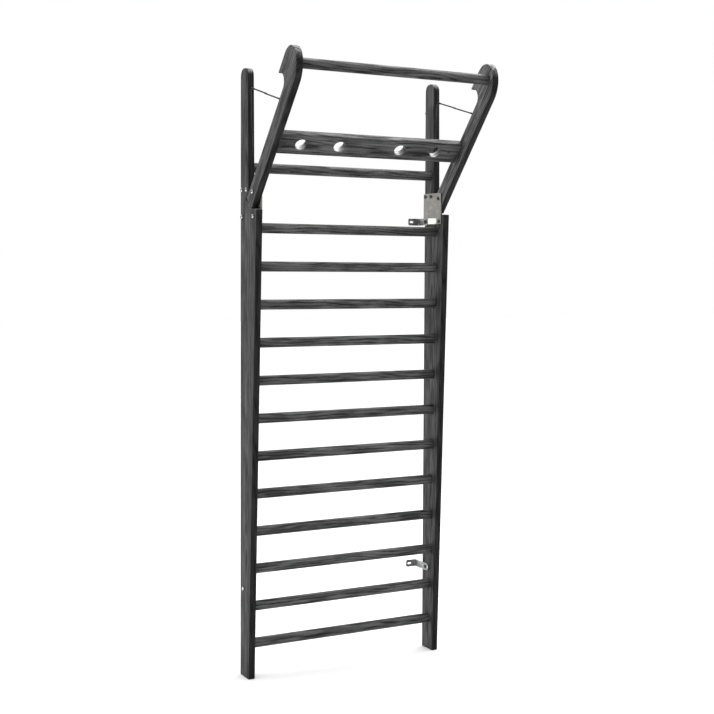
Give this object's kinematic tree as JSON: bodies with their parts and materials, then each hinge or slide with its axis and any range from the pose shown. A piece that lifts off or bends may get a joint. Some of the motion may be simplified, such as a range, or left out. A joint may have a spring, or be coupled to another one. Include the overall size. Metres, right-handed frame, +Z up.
{
  "type": "wall bars",
  "caption": "Wall bars with two tapered uprights, round rungs and a folding pull-up frame that has hooked arms, a grip board and wire stays.",
  "frame": {"origin": "on the wall plane, midway between the uprights, at floor level", "axes": "+X right, +Y into the wall, +Z up"},
  "size_m": [0.865, 0.6071, 2.4396],
  "materials": {
    "black_wood": "black-stained open-grain hardwood, satin",
    "plate_steel": "plain rolled steel, satin",
    "bolt_steel": "zinc plated, bright",
    "bracket_steel": "galvanised, satin",
    "wire_steel": "plain wire, satin",
    "black_steel": "black, satin"
  },
  "bodies": {
    "wall_frame": {"left_front_low_bolt": "bolt_steel", "left_hinge_plate": "plate_steel", "left_lower_bracket": "bracket_steel", "left_lower_bracket_bolt": "bolt_steel", "left_pivot_bolt": "bolt_steel", "left_rear_button": "black_steel", "left_rear_low_bolt": "bolt_steel", "left_rear_top_bolt": "bolt_steel", "left_stop_bolt": "bolt_steel", "left_upper_bracket": "bracket_steel", "left_upright": "black_wood", "left_upright_eye": "wire_steel", "right_front_low_bolt": "bolt_steel", "right_hinge_plate": "plate_steel", "right_lower_bracket": "bracket_steel", "right_lower_bracket_bolt": "bolt_steel", "right_pivot_bolt": "bolt_steel", "right_rear_button": "black_steel", "right_rear_low_bolt": "bolt_steel", "right_rear_top_bolt": "bolt_steel", "right_stop_bolt": "bolt_steel", "right_upper_bracket": "bracket_steel", "right_upright": "black_wood", "right_upright_eye": "wire_steel", "rung_01": "black_wood", "rung_02": "black_wood", "rung_03": "black_wood", "rung_04": "black_wood", "rung_05": "black_wood", "rung_06": "black_wood", "rung_07": "black_wood", "rung_08": "black_wood", "rung_09": "black_wood", "rung_10": "black_wood", "rung_11": "black_wood", "rung_12": "black_wood", "upper_rung": "black_wood"},
    "pull_up_frame": {"grip_board": "black_wood", "left_arm": "black_wood", "left_arm_barrel": "black_steel", "left_arm_eye": "wire_steel", "left_board_barrel": "black_steel", "left_board_bolt": "bolt_steel", "pull_up_bar": "black_wood", "right_arm": "black_wood", "right_arm_barrel": "black_steel", "right_arm_eye": "wire_steel", "right_board_barrel": "black_steel", "right_board_bolt": "bolt_steel"},
    "left_stay_rear": {"left_stay_rear": "wire_steel"},
    "left_stay_front": {"left_stay_front": "wire_steel"},
    "right_stay_rear": {"right_stay_rear": "wire_steel"},
    "right_stay_front": {"right_stay_front": "wire_steel"}
  },
  "joints": [
    {"name": "pull_up_fold", "type": "hinge", "parent": "wall_frame", "child": "pull_up_frame", "pos_m": [0, -0.185, 1.923], "axis": [-1, 0, 0], "range_deg": [0, 42.5]},
    {"name": "left_stay_rear_hinge", "type": "hinge", "parent": "wall_frame", "child": "left_stay_rear", "pos_m": [-0.4135, -0.14014, 2.326], "axis": [1, 0, 0], "range_deg": [0, 74.8]},
    {"name": "left_stay_front_hinge", "type": "hinge", "parent": "pull_up_frame", "child": "left_stay_front", "pos_m": [-0.4135, -0.44106, 2.25395], "axis": [-1, 0, 0], "range_deg": [0, 59.3]},
    {"name": "right_stay_rear_hinge", "type": "hinge", "parent": "wall_frame", "child": "right_stay_rear", "pos_m": [0.4135, -0.14014, 2.326], "axis": [1, 0, 0], "range_deg": [0, 74.8]},
    {"name": "right_stay_front_hinge", "type": "hinge", "parent": "pull_up_frame", "child": "right_stay_front", "pos_m": [0.4135, -0.44106, 2.25395], "axis": [-1, 0, 0], "range_deg": [0, 59.3]}
  ],
  "couplings": [
    {"joint": "left_stay_rear_hinge", "follows": "pull_up_fold", "ratio": 1.756},
    {"joint": "left_stay_front_hinge", "follows": "pull_up_fold", "ratio": 1.3915},
    {"joint": "right_stay_rear_hinge", "follows": "pull_up_fold", "ratio": 1.756},
    {"joint": "right_stay_front_hinge", "follows": "pull_up_fold", "ratio": 1.3915}
  ]
}
